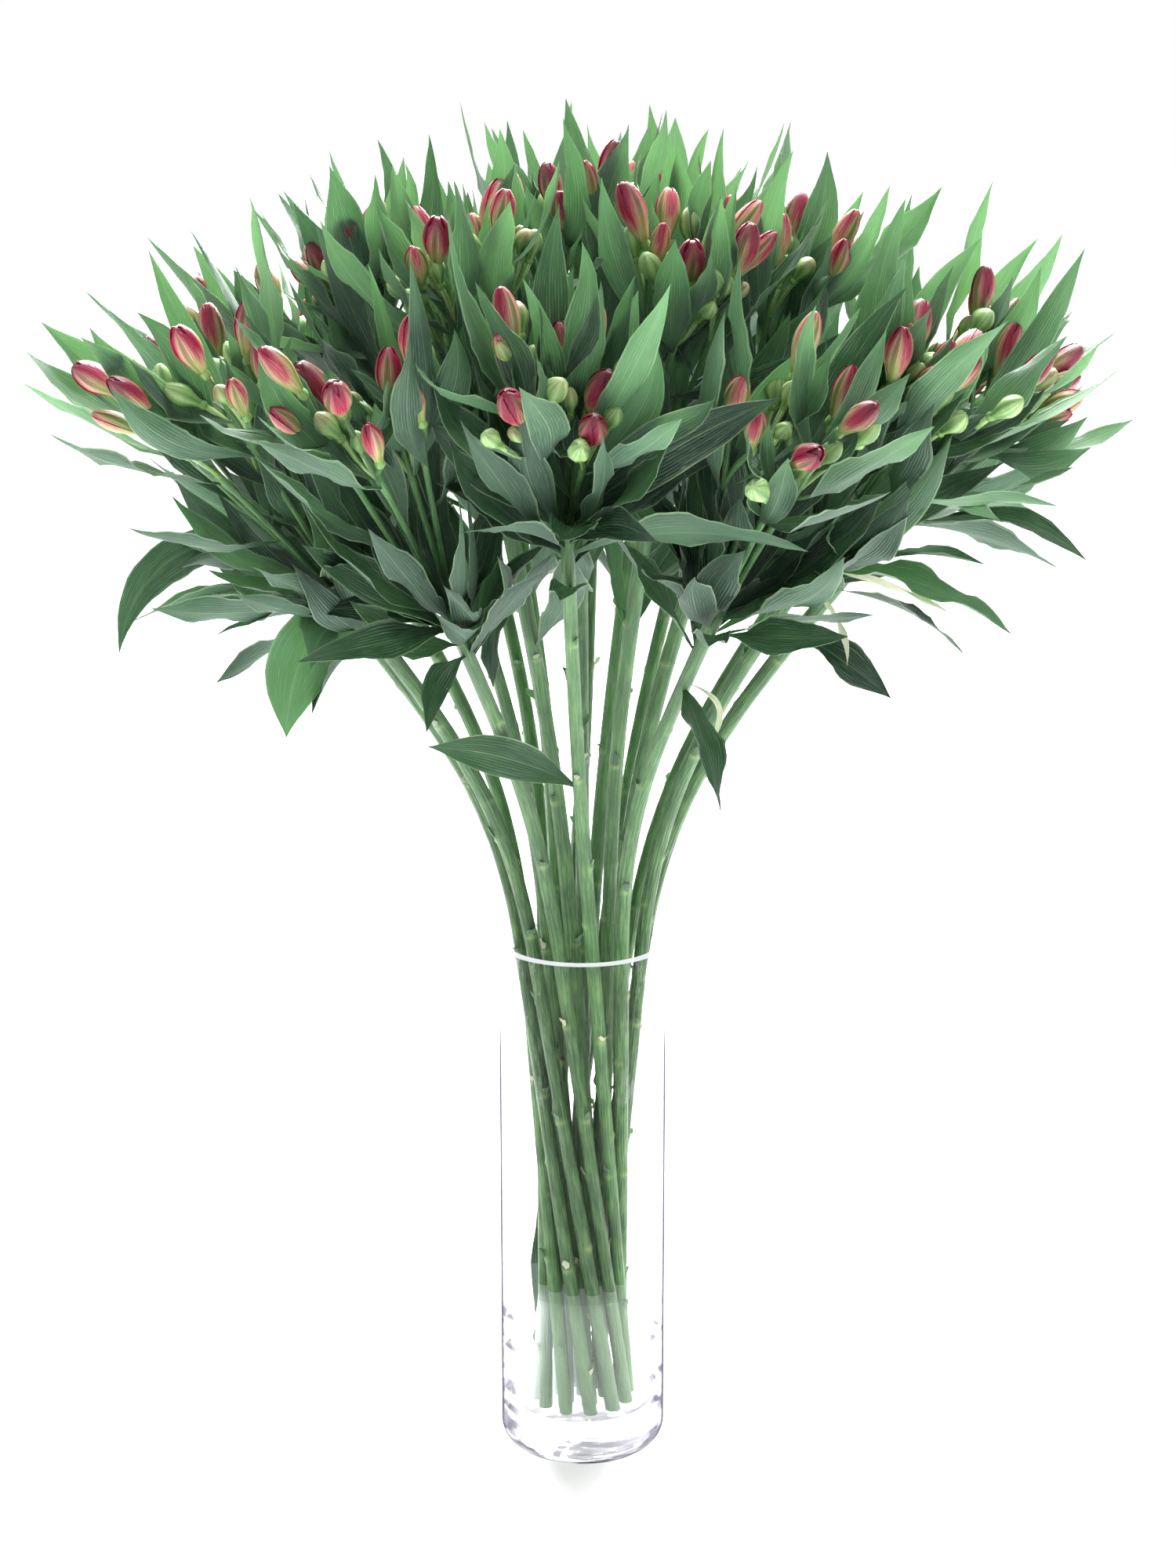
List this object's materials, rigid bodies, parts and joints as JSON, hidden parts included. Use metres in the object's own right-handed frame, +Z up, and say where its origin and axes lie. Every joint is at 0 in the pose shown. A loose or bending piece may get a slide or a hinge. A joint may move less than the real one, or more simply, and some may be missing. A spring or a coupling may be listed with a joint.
{
  "type": "vase of alstroemeria stems",
  "caption": "Full bunch of budded, leafy alstroemeria stems standing in a tall clear glass cylinder vase with a little water.",
  "frame": {"origin": "centre of the vase's flat underside, on the surface that it stands on", "axes": "+Z up along the vase's axis, -Y towards the viewer, +X to the viewer's right"},
  "size_m": [0.6352, 0.6135, 0.8133],
  "materials": {
    "glass": "clear, polished",
    "water": "clear, wet",
    "foliage": "matte green leaves and stalks with pink and green buds"
  },
  "bodies": {
    "root": {"vase": "glass", "water": "water", "stem_01": "foliage", "stem_02": "foliage", "stem_03": "foliage", "stem_04": "foliage", "stem_05": "foliage", "stem_06": "foliage", "stem_07": "foliage", "stem_08": "foliage", "stem_09": "foliage", "stem_10": "foliage", "stem_11": "foliage", "stem_12": "foliage", "stem_13": "foliage", "stem_14": "foliage", "stem_15": "foliage", "stem_16": "foliage", "stem_17": "foliage", "stem_18": "foliage", "stem_19": "foliage"}
  },
  "joints": []
}
